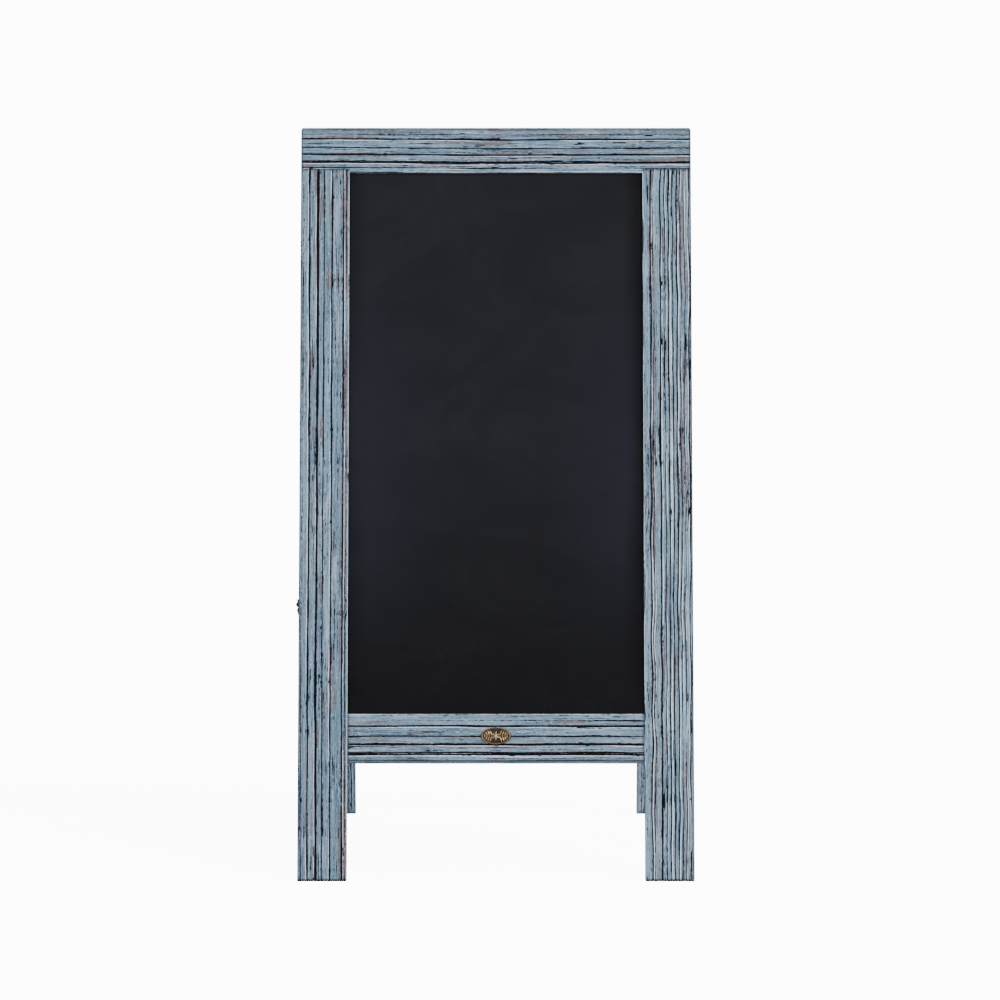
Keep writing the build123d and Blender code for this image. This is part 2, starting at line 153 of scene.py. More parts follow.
class Shader:
    """A material with one principled surface, and short ways to add nodes to it."""

    def __init__(self, name):
        self.material = bpy.data.materials.new(name)
        self.material.use_nodes = True
        self.tree = self.material.node_tree
        self.surface = self.tree.nodes["Principled BSDF"]

    def put(self, socket, value):
        """Sets an input, or links it to another node's output."""
        if isinstance(value, bpy.types.NodeSocket):
            self.tree.links.new(value, socket)
        elif isinstance(value, tuple) and len(value) == 3 and socket.type == "RGBA":
            socket.default_value = (*value, 1.0)
        else:
            socket.default_value = value

    def set(self, **inputs):
        """Sets the surface's inputs: base_color=... sets Base Color."""
        by_name = {socket.name.lower().replace(" ", "_"): socket for socket in self.surface.inputs}
        for name, value in inputs.items():
            self.put(by_name[name], value)

    def object_place(self):
        return self.tree.nodes.new("ShaderNodeTexCoord").outputs["Object"]

    def attribute(self, name, output="Fac"):
        node = self.tree.nodes.new("ShaderNodeAttribute")
        node.attribute_name = name
        return node.outputs[output]

    def stretched(self, vector, scale, turn=(0.0, 0.0, 0.0)):
        node = self.tree.nodes.new("ShaderNodeMapping")
        self.put(node.inputs["Vector"], vector)
        node.inputs["Rotation"].default_value = turn
        node.inputs["Scale"].default_value = scale
        return node.outputs["Vector"]

    def noise(self, vector, scale, detail=3.0, roughness=0.55, distortion=0.0):
        node = self.tree.nodes.new("ShaderNodeTexNoise")
        self.put(node.inputs["Vector"], vector)
        node.inputs["Scale"].default_value = scale
        node.inputs["Detail"].default_value = detail
        node.inputs["Roughness"].default_value = roughness
        node.inputs["Distortion"].default_value = distortion
        return node.outputs["Fac"]

    def voronoi(self, vector, scale):
        node = self.tree.nodes.new("ShaderNodeTexVoronoi")
        self.put(node.inputs["Vector"], vector)
        node.inputs["Scale"].default_value = scale
        return node.outputs["Distance"]

    def spread(self, value, low, high, to_low=0.0, to_high=1.0):
        """Maps low..high onto to_low..to_high, held at both ends."""
        node = self.tree.nodes.new("ShaderNodeMapRange")
        self.put(node.inputs["Value"], value)
        node.inputs["From Min"].default_value = low
        node.inputs["From Max"].default_value = high
        node.inputs["To Min"].default_value = to_low
        node.inputs["To Max"].default_value = to_high
        return node.outputs["Result"]

    def calculate(self, kind, *values):
        """One step of arithmetic on one or two values."""
        node = self.tree.nodes.new("ShaderNodeMath")
        node.operation = kind
        for socket, value in zip(node.inputs, values):
            self.put(socket, value)
        return node.outputs["Value"]

    def plus(self, first, second):
        return self.calculate("ADD", first, second)

    def times(self, first, second):
        return self.calculate("MULTIPLY", first, second)

    def mix(self, share, first, second):
        """Between two colours."""
        node = self.tree.nodes.new("ShaderNodeMix")
        node.data_type = "RGBA"
        self.put(node.inputs[MIX_SHARE], share)
        self.put(node.inputs[MIX_FIRST], first)
        self.put(node.inputs[MIX_SECOND], second)
        return node.outputs[MIX_RESULT]

    def bump(self, height, distance, strength):
        node = self.tree.nodes.new("ShaderNodeBump")
        node.inputs["Distance"].default_value = distance
        node.inputs["Strength"].default_value = strength
        self.put(node.inputs["Height"], height)
        return node.outputs["Normal"]


# --- Wood ---------------------------------------------------------------------------------------

ARRIS = 1.2 * MM
ARRIS_TURNS = (0, 30, 60, 90)
BOARD_GROOVE = 6 * MM

# The mesh's steps round a bar, on the face that shows, the back and the edges, and its step along it.
SHOW_STEP = 0.42 * MM
BACK_STEP = 0.8 * MM
EDGE_STEP = 0.85 * MM
STATION_STEP = 3.2 * MM

# Half of the short run in which the surface drops from a face into a groove or a notch.
WALL_SLIVER = 0.02 * MM

# How far up a foot is stretched to meet the floor, how high the painted contact shade at its foot
# reaches, and how many of those heights up that shade has faded out.
FOOT_BLEND = 40 * MM
FOOT_SHADE_HEIGHT = 2.9 * MM
FOOT_SHADE_FADE = 1.6

END_GRAIN_INSET = 0.4 * MM
WOOD_SHARP_ANGLE = 38

# A long groove in the grain. The place is how far across the face it runs, the half width and the
# depth are in millimetres, presence from 0 to 1 says how much of its length it is open for, and bare
# says how much brown wood shows beside it. The sign of lip says which side its painted highlight, a
# pale line standing for the groove wall that faces the light, is on, and its size how wide that is.
Groove = namedtuple("Groove", "place half_width depth presence bare lip")

LEFT_STILE_GROOVES = (
    Groove(0.06, 0.85, 0.4, 0.62, 0.0, 0),
    Groove(0.194, 1.42, 0.8, 0.98, 0.45, -1),
    Groove(0.36, 1.94, 1.0, 1.0, 1.0, -1),
    Groove(0.485, 0.97, 0.6, 0.92, 0.1, 0),
    Groove(0.65, 1.25, 0.9, 0.97, 0.0, -1),
    Groove(0.73, 0.85, 0.35, 0.3, 0.1, 0),
    Groove(0.885, 1.31, 0.8, 0.66, 1.0, 1),
    Groove(0.945, 0.91, 0.5, 0.45, 1.0, 0),
)
RIGHT_STILE_GROOVES = (
    Groove(0.07, 0.67, 0.4, 0.3, 0.2, 1.1),
    Groove(0.15, 1.19, 0.9, 0.98, 0.9, 1.2),
    Groove(0.205, 0.76, 0.5, 0.55, 0.7, 1.3),
    Groove(0.35, 1.24, 1.0, 0.98, 0.2, 1.7),
    Groove(0.445, 0.76, 0.6, 0.8, 0.0, 1.2),
    Groove(0.525, 1.05, 0.9, 0.92, 0.0, 1.8),
    Groove(0.605, 0.91, 0.8, 0.88, 0.0, -1.2),
    Groove(0.69, 1.05, 0.9, 0.92, 0.3, 1.7),
    Groove(0.765, 0.87, 0.6, 0.7, 1.0, 1.2),
    Groove(0.84, 0.81, 0.6, 0.6, 1.0, 1.3),
    Groove(0.935, 0.96, 0.5, 0.72, 0.5, -1),
)
TOP_RAIL_GROOVES = (
    Groove(0.106, 0.97, 0.5, 0.5, 0.1, -1),
    Groove(0.15, 0.57, 0.3, 0.5, 0.0, 1),
    Groove(0.22, 1.03, 0.8, 0.85, 1.0, -1),
    Groove(0.252, 1.08, 0.9, 0.95, 0.7, 0),
    Groove(0.413, 1.42, 1.0, 1.0, 1.0, -1),
    Groove(0.567, 0.97, 0.7, 0.8, 0.2, 0),
    Groove(0.766, 1.31, 1.0, 0.95, 0.0, -1),
    Groove(0.872, 0.97, 0.4, 0.4, 0.4, 0),
)

# The bottom rail's grooves are the top rail's, this much further apart and this much wider.
RAIL_GRAIN_SPREAD = 1.087
RAIL_GRAIN_WIDEN = 1.22

# What one bar's face looks like: its grooves, how far they weave about in millimetres, and how much
# its wash is lifted by painted light.
Face = namedtuple("Face", "grooves sway lightness")


def spread_from_top(grooves):
    """The same grooves wider and further apart, measured from the face's upper edge."""
    return [
        groove._replace(
            place=1 - RAIL_GRAIN_SPREAD * (1 - groove.place),
            half_width=RAIL_GRAIN_WIDEN * groove.half_width,
        )
        for groove in grooves
    ]


TOP_RAIL_FACE = Face(TOP_RAIL_GROOVES, 0.3, 0.0)
BOTTOM_RAIL_FACE = Face(spread_from_top(TOP_RAIL_GROOVES), 0.3, 0.0)
LEFT_STILE_FACE = Face(LEFT_STILE_GROOVES, 0.25, 0.0)
# Painted light: the right stile's wash is made lighter, as if it were lit more than the left.
RIGHT_STILE_FACE = Face(RIGHT_STILE_GROOVES, 1.4, 0.32)


# The least and the most of each measure of a groove at a chance place: all but the presence, which is
# a share, are in millimetres.
CHANCE_MARGIN = (2, 5)
CHANCE_HALF_WIDTH = (0.6, 1.1)
CHANCE_DEPTH = (0.4, 0.9)
CHANCE_PRESENCE = (0.3, 0.95)
CHANCE_SPACING = (4, 10)


def chance_grooves(start, end, seed):
    """Grooves at uneven spacing over a stretch of the way round a bar, placed in metres."""
    rng = np.random.default_rng(seed)
    place = start + rng.uniform(*CHANCE_MARGIN) * MM
    grooves = []
    while place < end:
        half_width = rng.uniform(*CHANCE_HALF_WIDTH)
        depth = rng.uniform(*CHANCE_DEPTH)
        presence = rng.uniform(*CHANCE_PRESENCE)
        bare = rng.uniform(0, 1) ** 2
        lip = rng.choice((-1, 1))
        grooves.append(Groove(place, half_width, depth, presence, bare, lip))
        place += rng.uniform(*CHANCE_SPACING) * MM
    return grooves


# Small dashes between the long grooves: width in millimetres, length in metres, the noise level that
# they start at, depth in millimetres, and how dark they are.
Dash = namedtuple("Dash", "width run start depth shade")
DASHES = (
    Dash(0.8, 0.022, 0.6, 0.22, 0.75),
    Dash(0.6, 0.009, 0.62, 0.14, 0.6),
    Dash(1.0, 0.04, 0.66, 0.26, 0.8),
)
DASH_SOFTNESS = 0.28

# How a long groove wobbles, comes and goes and swells along its length, and how its painted highlight
# and the bare wood beside it do.
GROOVE_WOBBLE = (Wave(0.3 * MM, 0.075), Wave(0.16 * MM, 0.024))
GROOVE_GAPS = (Wave(0.42, 0.13), Wave(0.3, 0.04))
GROOVE_SWELL = (Wave(0.22, 0.03),)
LIP_GAPS = (Wave(0.7, 0.06),)
BARE_GAPS = (Wave(0.8, 0.085),)
LIP_SHOWS = 0.65
BARE_SHOWS = 0.62

# The presence at which a groove is half open, and how quickly it opens beyond that.
HALF_OPEN = 0.42
OPENING_RATE = 1.5

# A groove's mean width and what is left of it where the groove closes, as shares, and how quickly it
# darkens from its sides to its middle.
MEAN_WIDTH = 0.92
CLOSED_WIDTH = 0.45
SHADE_RATE = 1.6

# A painted highlight's half width in millimetres: the least, and what each unit of its size adds.
LIP_LEAST_WIDTH = 0.25
LIP_EXTRA_WIDTH = 0.2

# How far the painted highlight stands off the groove, and where the bare wood lies and how far it
# reaches.
LIP_DISTANCE = 0.2 * MM
BARE_DISTANCE = 0.8 * MM
BARE_REACH = 1.2 * MM


def long_groove(across, along, groove, seed):
    """Depth, darkness, painted highlight and bare wood of one long groove, each from 0 to 1."""
    away = across - groove.place - waves(along, GROOVE_WOBBLE, seed)
    opening = 0.5 + OPENING_RATE * (groove.presence - HALF_OPEN)
    present = smooth(opening + waves(along, GROOVE_GAPS, seed + 2))
    half = groove.half_width * MM * (MEAN_WIDTH + waves(along, GROOVE_SWELL, seed + 4))
    half = half * (CLOSED_WIDTH + (1 - CLOSED_WIDTH) * present)
    valley = np.clip(1 - (away / half) ** 2, 0, 1)
    shade = present * np.clip(SHADE_RATE * valley, 0, 1)
    lip_side = np.sign(groove.lip)
    lip_width = (LIP_LEAST_WIDTH + LIP_EXTRA_WIDTH * abs(groove.lip)) * MM
    from_lip = away - lip_side * (half + LIP_DISTANCE + lip_width)
    # Painted highlight: a pale line beside the groove, where its wall would catch the light.
    pale = abs(lip_side) * present * np.exp(-((from_lip / lip_width) ** 2))
    pale = pale * smooth(LIP_SHOWS + waves(along, LIP_GAPS, seed + 6))
    beside = np.exp(-(((away - lip_side * BARE_DISTANCE) / (half + BARE_REACH)) ** 2))
    bare = groove.bare * beside * smooth(BARE_SHOWS + waves(along, BARE_GAPS, seed + 5))
    return present * valley, shade, pale, bare


# Uneven patches over a bar: their size, and how wide and how long one is in metres.
Patches = namedtuple("Patches", "size width length")
GRAIN_DRIFT = (Wave(0.9 * MM, 0.37), Wave(0.35 * MM, 0.11))
WEAVE = Patches(1.0, 0.016, 0.045)
QUIVER = Patches(0.12 * MM, 0.005, 0.02)
DASH_CLUSTERS = Patches(0.2, 0.009, 0.07)
FIBRES = Patches(1.0, 0.7 * MM, 0.02)
WASH_STREAKS = Patches(0.55, 0.0055, 0.16)
RUBBED_STREAKS = Patches(1.0, 0.003, 0.05)

FIBRE_DEPTH = 0.05 * MM
FIBRE_TONE = 0.45
RUBBED_START = 0.45
RUBBED_SOFTNESS = 0.3
RUBBED_BARE = 0.65

# Where the seeds of the dashes and the grooves start, counted on from the bar's seed.
DASH_SEEDS = 10
GROOVE_SEEDS = 20
SEEDS_PER_GROOVE = 7


def patchy(across, along, patches, seed):
    """Smooth noise over a bar in patches of one kind."""
    return patches.size * noise_field(across / patches.width, along / patches.length, seed)


def grain(around, along, face, grooves, seed):
    """Depth of the relief in metres, the colour attributes, and the place across the strayed grain."""
    drift = waves(along, GRAIN_DRIFT, seed)
    weave = face.sway * MM * patchy(around, along, WEAVE, seed + 2)
    quiver = patchy(around, along, QUIVER, seed + 3)
    across = around + drift + weave + quiver
    depth = np.zeros_like(across)
    dark, pale, bare = np.zeros_like(across), np.zeros_like(across), np.zeros_like(across)
    for index, groove in enumerate(grooves):
        groove_seed = seed + GROOVE_SEEDS + SEEDS_PER_GROOVE * index
        cut, shade, lip, brown = long_groove(across, along, groove, groove_seed)
        depth = np.maximum(depth, groove.depth * MM * cut)
        dark = np.maximum(dark, shade)
        pale = np.maximum(pale, lip)
        bare = np.maximum(bare, brown)
    cluster = patchy(around, along, DASH_CLUSTERS, seed + 6)
    for index, dash in enumerate(DASHES):
        level = noise_field(across / (dash.width * MM), along / dash.run, seed + DASH_SEEDS + index)
        level = smooth((level + cluster - dash.start) / DASH_SOFTNESS)
        depth = np.maximum(depth, dash.depth * MM * level)
        dark = np.maximum(dark, dash.shade * level)
    fibre = patchy(across, along, FIBRES, seed + 7)
    depth += FIBRE_DEPTH * (1 + fibre)
    # The tone holds random streaks of wash plus the face's painted light.
    tone_and_light = patchy(across, along, WASH_STREAKS, seed + 8) + FIBRE_TONE * fibre + face.lightness
    rubbed = smooth((patchy(across, along, RUBBED_STREAKS, seed + 9) - RUBBED_START) / RUBBED_SOFTNESS)
    bare = np.maximum(bare, RUBBED_BARE * rubbed)
    return depth, {"dark": dark, "pale": pale, "bare": bare, "tone_and_light": tone_and_light}, across


# How near 1 a normal's part along an axis is on a flat side, clear of the arrises.
FLAT = 0.99


def section(low, high, opening_edge, board):
    """The loop of points round a bar, the way round to each, and which of them lie in the groove.

    A point is its place across and outwards, then its normal. The loop starts on the face that shows,
    at the low edge. board is where the board's back and front lie, outwards.
    """
    (a0, b0), (a1, b1) = low, high
    inner_a = (a0 + ARRIS, a1 - ARRIS)
    inner_b = (b0 + ARRIS, b1 - ARRIS)
    walls = [face + sliver for face in board for sliver in (-WALL_SLIVER, WALL_SLIVER)]
    points = []

    def run(start, end, step, normal, extra=()):
        """A straight stretch, with more points where the groove's walls are."""
        start, end = np.array(start), np.array(end)
        count = math.ceil(np.linalg.norm(end - start) / step)
        shares = set(np.linspace(0, 1, count + 1)[1:-1])
        shares |= {(wall - start[1]) / (end[1] - start[1]) for wall in extra}
        for share in sorted(shares):
            points.append((*(start + share * (end - start)), *normal))

    def corner(centre, first):
        """A quarter of the arris, turning clockwise from an angle in degrees."""
        for turn in ARRIS_TURNS:
            angle = math.radians(first - turn)
            normal = (math.cos(angle), math.sin(angle))
            points.append((centre[0] + ARRIS * normal[0], centre[1] + ARRIS * normal[1], *normal))

    run((inner_a[0], b1), (inner_a[1], b1), SHOW_STEP, (0, 1))
    corner((inner_a[1], inner_b[1]), 90)
    run((a1, inner_b[1]), (a1, inner_b[0]), EDGE_STEP, (1, 0), walls if opening_edge > 0 else ())
    corner((inner_a[1], inner_b[0]), 0)
    run((inner_a[1], b0), (inner_a[0], b0), BACK_STEP, (0, -1))
    corner((inner_a[0], inner_b[0]), -90)
    run((a0, inner_b[0]), (a0, inner_b[1]), EDGE_STEP, (-1, 0), walls if opening_edge < 0 else ())
    corner((inner_a[0], inner_b[1]), 180)
    loop = np.array(points)
    steps = np.linalg.norm(np.diff(loop[:, :2], axis=0), axis=1)
    way = np.concatenate(([0], np.cumsum(steps))) + (loop[0, 0] - a0)
    on_edge = loop[:, 2] * opening_edge > FLAT
    in_groove = on_edge & (loop[:, 1] > board[0]) & (loop[:, 1] < board[1])
    return loop, way, in_groove


def stations(start, end, marks):
    """Places along a bar: even steps, closer ones round each end's arris, and a pair at each mark."""
    offsets = [ARRIS * (1 - math.sin(math.radians(turn))) for turn in ARRIS_TURNS]
    places = list(np.linspace(start + ARRIS, end - ARRIS, math.ceil((end - start) / STATION_STEP)))
    places += [start + offset for offset in offsets] + [end - offset for offset in offsets]
    for mark in marks:
        if start + ARRIS < mark < end - ARRIS:
            places += [mark - WALL_SLIVER, mark + WALL_SLIVER]
    places = np.array(sorted(places))
    return places[np.concatenate(([True], np.diff(places) > WALL_SLIVER / 2))]


# How much of the relief the arrises lose, what smooth() is given for it at a bar's ends, and the
# length over which that rises by 1.
ARRIS_CALM = 0.8
END_RELIEF = 0.25
END_CALM = 3 * MM

# How far past the face that shows the grooves at chance places start.
CHANCE_START = 2 * MM

# How strong the painted highlight on the arris beside the board is, and what turns the lesser part of
# the normal in an arris's middle into 1.
BOARD_ARRIS_HIGHLIGHT = 0.85
DIAGONAL = 1.41

# The painted shade strip along a bar's outer edges and ends, in arrises.
EDGE_SHADE_REACH = 2.3
EDGE_SHADE_END = 2


def floor_level(outwards):
    """How far down the folded bar the floor lies, at a place outwards."""
    return -(HINGE[2] + outwards * math.sin(HALF_ANGLE)) / math.cos(HALF_ANGLE)


def painted_edge_shade(loop, low, high, to_end, opening_edge):
    """Where a bar gets painted shade as a dark outline: beside its outer arrises and its ends, from 0 to
    1.
    """
    from_edge = np.where(
        abs(loop[:, 3]) > abs(loop[:, 2]),
        np.minimum(loop[:, 0] - low[0], high[0] - loop[:, 0]),
        np.minimum(loop[:, 1] - low[1], high[1] - loop[:, 1]),
    )
    # Painted shade: darker within a few arrises of the outer edges and the ends.
    worn = np.maximum(
        smooth(EDGE_SHADE_REACH - from_edge / ARRIS)[None, :],
        smooth(EDGE_SHADE_REACH - to_end / ARRIS),
    )
    board_half = (loop[:, 0] - (low[0] + high[0]) / 2) * opening_edge > 0
    return np.where(board_half & (to_end > EDGE_SHADE_END * ARRIS), 0, worn)


def bar(node, side, lengthwise, opening_edge, face, seed, board, board_span, notch=None, foot=False):
    """One wooden piece as a closed mesh with its grain cut into it.

    lengthwise is the axis that the grain runs along, 0 or 2. opening_edge says which edge faces the
    board. board is where the board's back and front lie, and board_span is the stretch of the groove
    that is cut out for it. notch, on a top rail, is the half width between the stiles and the level
    of the rail's notched ends. A bar with a foot is stretched to the floor at its low end.
    """
    box_low, box_high = folded_box(node, side)
    crosswise = 2 - lengthwise
    low, high = (box_low[crosswise], box_low[1]), (box_high[crosswise], box_high[1])
    start, end = box_low[lengthwise], box_high[lengthwise]
    loop, way, in_groove = section(low, high, opening_edge, board)
    marks = list(board_span) + ([-notch[0], notch[0]] if notch else [])
    along = stations(start, end, marks)
    width = high[0] - low[0]
    placed = [groove._replace(place=groove.place * width) for groove in face.grooves]
    placed += chance_grooves(width + CHANCE_START, way[-1], seed)
    around, length = np.meshgrid(way, along)
    depth, values, across = grain(around, length, face, placed, seed)

    to_end = np.minimum(length - start, end - length)
    to_turn = np.clip(ARRIS - to_end, 0, ARRIS)
    inset = ARRIS - np.sqrt(ARRIS**2 - to_turn**2)
    corner = np.minimum(abs(loop[:, 2]), abs(loop[:, 3]))
    depth *= 1 - ARRIS_CALM * corner[None, :]
    depth *= smooth(END_RELIEF + to_end / END_CALM)
    a = loop[None, :, 0] - (depth + inset) * loop[None, :, 2]
    b = loop[None, :, 1] - (depth + inset) * loop[None, :, 3]
    held = (length > board_span[0]) & (length < board_span[1]) & in_groove[None, :]
    a = np.where(held, loop[None, :, 0] - opening_edge * BOARD_GROOVE, a)
    if notch:
        cut = (abs(length) > notch[0]) & (a < notch[1])
        a = np.where(cut, notch[1], a)
        b = np.where(cut, loop[None, :, 1], b)
    if foot:
        stretch = np.clip(1 - (length - start) / FOOT_BLEND, 0, 1)
        length = length + (floor_level(b) - start) * stretch

    # Each end is closed by one more loop, drawn in a little from the last one.
    with_ends = [0, *range(len(along)), len(along) - 1]
    shrink = np.zeros((len(with_ends), 1))
    shrink[[0, -1]] = END_GRAIN_INSET
    points = np.zeros((len(with_ends), len(loop), 3))
    points[..., crosswise] = a[with_ends] - shrink * loop[:, 2]
    points[..., 1] = b[with_ends] - shrink * loop[:, 3]
    points[..., lengthwise] = length[with_ends]
    if foot:
        points[0, :, lengthwise] = floor_level(points[0, :, 1])
    points[..., 1] *= side

    values = {name: field[with_ends] for name, field in values.items()}
    values["end"] = np.where(shrink > 0, 1.0, 0.0) * np.ones(len(loop))
    # Painted highlight: the arris beside the board is made pale, as if it caught the light.
    by_board = (loop[:, 2] * opening_edge > 0) & (loop[:, 3] > 0)
    arris = np.clip(DIAGONAL * corner, 0, 1) * by_board
    values["pale"] = np.maximum(values["pale"], BOARD_ARRIS_HIGHLIGHT * arris)
    # Painted shade: the arris attribute darkens the outer arrises and the ends.
    values["arris"] = painted_edge_shade(loop, low, high, to_end, opening_edge)[with_ends]
    from_foot = (length - start)[with_ends] if foot else np.full(values["end"].shape, end - start)
    # Painted shade: the foot is darkened near the floor, a painted contact shadow.
    values["foot_shade"] = smooth(FOOT_SHADE_FADE - from_foot / FOOT_SHADE_HEIGHT)
    grain_place = np.stack((across, np.full_like(across, seed), length), axis=-1)[with_ends]

    mesh = grid_mesh(f"{node}_wood", stand(points, side))
    for name, field in values.items():
        mesh.attributes.new(name, "FLOAT", "POINT").data.foreach_set("value", field.ravel())
    mesh.attributes.new("grain", "FLOAT_VECTOR", "POINT").data.foreach_set("vector", grain_place.ravel())
    finished_piece(mesh, node, f"{DEPTH_NAMES[side]}_frame", "weathered_blue_wood", WOOD_SHARP_ANGLE)


def grid_mesh(name, points):
    """A closed mesh from rows of points round a loop, with both ends capped."""
    rows, columns = points.shape[:2]
    index = np.arange(rows * columns).reshape(rows, columns)
    here, up = index[:-1], index[1:]
    beside, up_beside = np.roll(here, -1, axis=1), np.roll(up, -1, axis=1)
    faces = np.stack((here, beside, up_beside, up), axis=-1).reshape(-1, 4).tolist()
    faces += [index[0, ::-1].tolist(), index[-1].tolist()]
    mesh = bpy.data.meshes.new(name)
    mesh.from_pydata(points.reshape(-1, 3).tolist(), [], faces)
    return mesh


def finished_piece(mesh, node, body, slot, sharp_angle):
    """An object from a mesh, with doubled points merged and faces turned outwards, riding on a body."""
    work = bmesh.new()
    work.from_mesh(mesh)
    bmesh.ops.remove_doubles(work, verts=work.verts, dist=WALL_SLIVER / 4)
    if work.calc_volume(signed=True) < 0:
        bmesh.ops.reverse_faces(work, faces=work.faces)
    work.to_mesh(mesh)
    work.free()
    mesh.polygons.foreach_set("use_smooth", [True] * len(mesh.polygons))
    mesh.set_sharp_from_angle(angle=math.radians(sharp_angle))
    piece = bpy.data.objects.new(mesh.name, mesh)
    bpy.context.scene.collection.objects.link(piece)
    mesh.materials.append(MATERIALS[slot])
    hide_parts(node)
    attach(piece, body)


FRAME_SEEDS = {FRONT: 100, REAR: 900}
SEEDS_PER_BAR = 200


def wooden_frame(side):
    """The two rails and two stiles of one frame."""
    name = DEPTH_NAMES[side]
    sheet_front = folded_box(f"{name}_writing_sheet", side)[1][1]
    backer_back = folded_box(f"{name}_backer_board", side)[0][1]
    stile_low, stile_high = folded_box(f"{name}_right_stile", side)
    bottom_rail_top = folded_box(f"{name}_bottom_rail", side)[1][2]
    board = (backer_back, sheet_front)
    half_opening = stile_low[0]
    stile_top = stile_high[2]
    opening = (-half_opening, half_opening)
    past_both_ends = (-2 * half_opening, 2 * half_opening)
    beside_board = (bottom_rail_top - BOARD_GROOVE, stile_top + ARRIS)
    notch = (half_opening, stile_top)
    seeds = [FRAME_SEEDS[side] + SEEDS_PER_BAR * index for index in range(4)]
    bar(f"{name}_top_rail", side, 0, -1, TOP_RAIL_FACE, seeds[0], board, opening, notch=notch)
    bar(f"{name}_bottom_rail", side, 0, 1, BOTTOM_RAIL_FACE, seeds[1], board, past_both_ends)
    for stile, opening_edge, face, seed in (
        ("left", 1, LEFT_STILE_FACE, seeds[2]),
        ("right", -1, RIGHT_STILE_FACE, seeds[3]),
    ):
        bar(f"{name}_{stile}_stile", side, 2, opening_edge, face, seed, board, beside_board, foot=True)


# Colours of the wood, as linear red, green and blue.
DEEP_WASH, LIGHT_WASH = (0.025, 0.066, 0.122), (0.235, 0.355, 0.49)
DARK_THREAD, LIGHT_THREAD = (0.035, 0.07, 0.11), (0.44, 0.55, 0.66)
GREEN_BLOTCH, VIOLET_STRAND = (0.085, 0.17, 0.215), (0.3, 0.34, 0.46)
DARK_BROWN, WORN_BROWN = (0.022, 0.01, 0.011), (0.23, 0.145, 0.155)
# Painted highlight colour, for the lit groove walls and the arris beside the board.
PAINTED_HIGHLIGHT = (0.72, 0.86, 0.98)
COLD_PIT, WARM_PIT = (0.0008, 0.0025, 0.0055), (0.006, 0.005, 0.0065)
HAIRLINE = (0.02, 0.032, 0.05)
DARK_TICK, LIGHT_TICK = (0.014, 0.024, 0.04), (0.52, 0.63, 0.73)
# Painted shade colour for the outer arrises and the bar ends.
PAINTED_EDGE_SHADE = (0.022, 0.033, 0.045)
EARLY_RING, LATE_RING, OPEN_PORE = (0.045, 0.075, 0.105), (0.16, 0.225, 0.29), (0.012, 0.014, 0.018)
# Painted contact shade at the feet.
FOOT_SHADE_COLOUR = (0.006, 0.007, 0.009)


